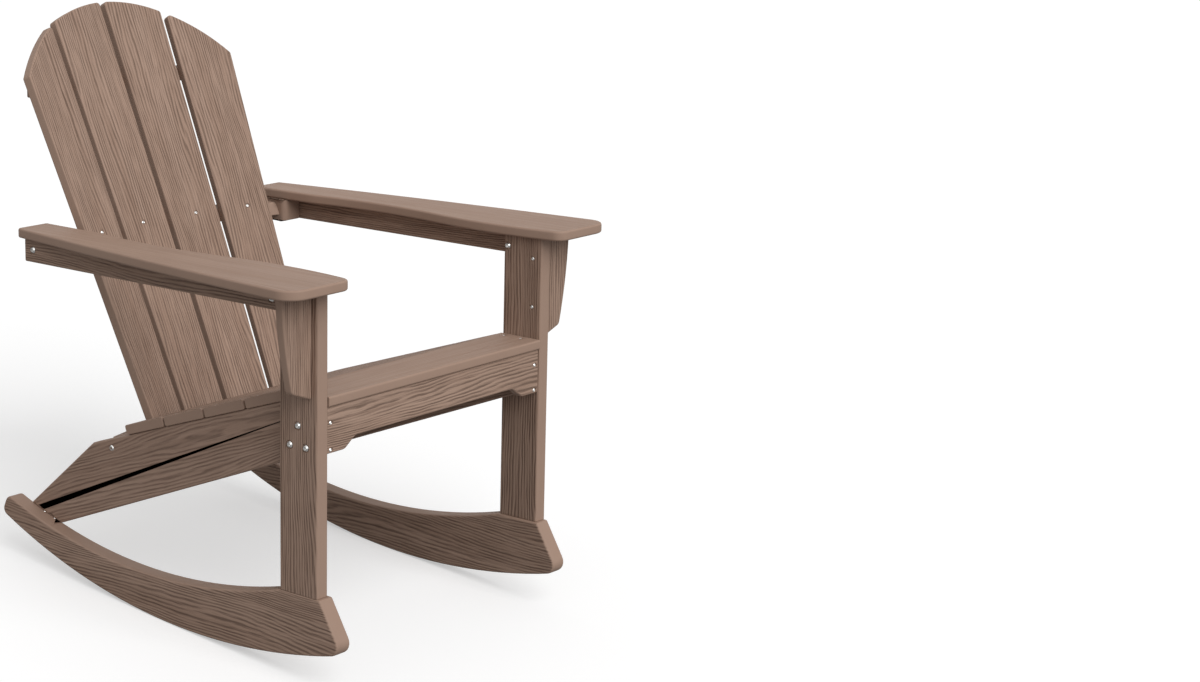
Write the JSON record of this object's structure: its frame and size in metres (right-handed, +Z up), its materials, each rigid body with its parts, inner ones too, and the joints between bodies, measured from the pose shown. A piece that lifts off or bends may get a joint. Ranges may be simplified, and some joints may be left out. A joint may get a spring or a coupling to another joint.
{
  "type": "rocking adirondack chair",
  "caption": "Low rocking garden chair of plastic lumber with a reclined fan of wide back slats, a sloping slatted seat, broad armrests on corbels and curved rockers.",
  "frame": {"origin": "on the floor, midway between the rockers, under the middle of the depth of the chair, which stands rolled back by 5 degrees", "axes": "+Z up, -Y the way the sitter faces, +X to the right as seen from the front"},
  "size_m": [0.7568, 0.8726, 0.8887],
  "materials": {
    "lumber": "weathered brown plastic lumber with embossed wood grain",
    "fasteners": "stainless steel button heads with hex sockets"
  },
  "bodies": {
    "root": {"left_rocker": "lumber", "right_rocker": "lumber", "left_front_leg": "lumber", "right_front_leg": "lumber", "left_side_rail": "lumber", "right_side_rail": "lumber", "front_apron": "lumber", "front_seat_slat": "lumber", "seat_slat_1": "lumber", "seat_slat_2": "lumber", "seat_slat_3": "lumber", "seat_slat_4": "lumber", "left_arm_rail": "lumber", "right_arm_rail": "lumber", "left_arm_block": "lumber", "right_arm_block": "lumber", "left_corbel": "lumber", "right_corbel": "lumber", "left_armrest": "lumber", "right_armrest": "lumber", "lower_back_brace": "lumber", "arm_back_brace": "lumber", "upper_back_brace": "lumber", "left_outer_back_slat": "lumber", "left_inner_back_slat": "lumber", "right_inner_back_slat": "lumber", "right_outer_back_slat": "lumber", "through_bolts": "fasteners", "barrel_nuts": "fasteners", "arm_rear_bolts": "fasteners", "lower_brace_bolts": "fasteners", "corbel_screws": "fasteners", "apron_screws": "fasteners", "seat_screws": "fasteners", "back_slat_screws": "fasteners", "upper_brace_screws": "fasteners", "armrest_screws": "fasteners", "rocker_leg_screws": "fasteners", "rocker_rail_screws": "fasteners"}
  },
  "joints": []
}
